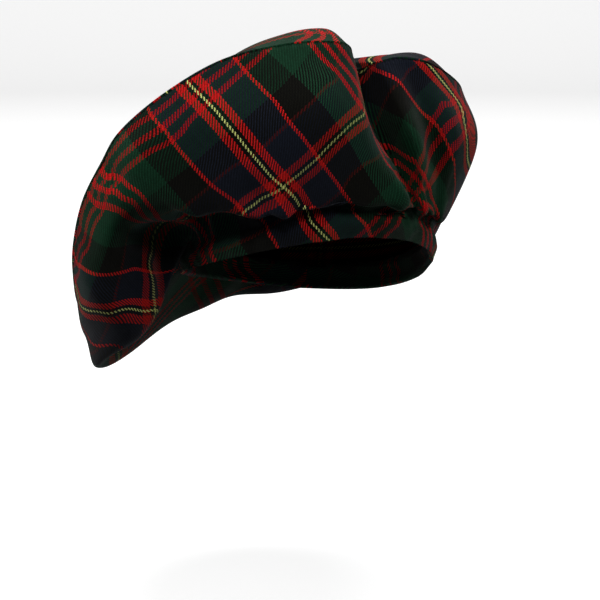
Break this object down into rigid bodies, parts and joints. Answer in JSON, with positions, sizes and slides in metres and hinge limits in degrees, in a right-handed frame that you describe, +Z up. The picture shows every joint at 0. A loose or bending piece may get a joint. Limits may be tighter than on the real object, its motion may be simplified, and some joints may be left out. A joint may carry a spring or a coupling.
{
  "type": "tam o shanter",
  "caption": "Soft tartan wool hat: a full round top seamed to a deep side panel drawn in to a turned hem, worn tilted and drooping to one side.",
  "frame": {"origin": "middle of the head opening, in the plane of the hem", "axes": "+Z up as worn, -Y the front, +X the wearer's left; the opening rises towards the front"},
  "size_m": [0.2617, 0.2785, 0.2296],
  "materials": {
    "tartan_wool": "brushed worsted wool in a 2/2 twill: green, navy and black ground with red guards and a yellow line"
  },
  "bodies": {
    "root": {"crown_side": "tartan_wool", "crown_top": "tartan_wool"}
  },
  "joints": []
}
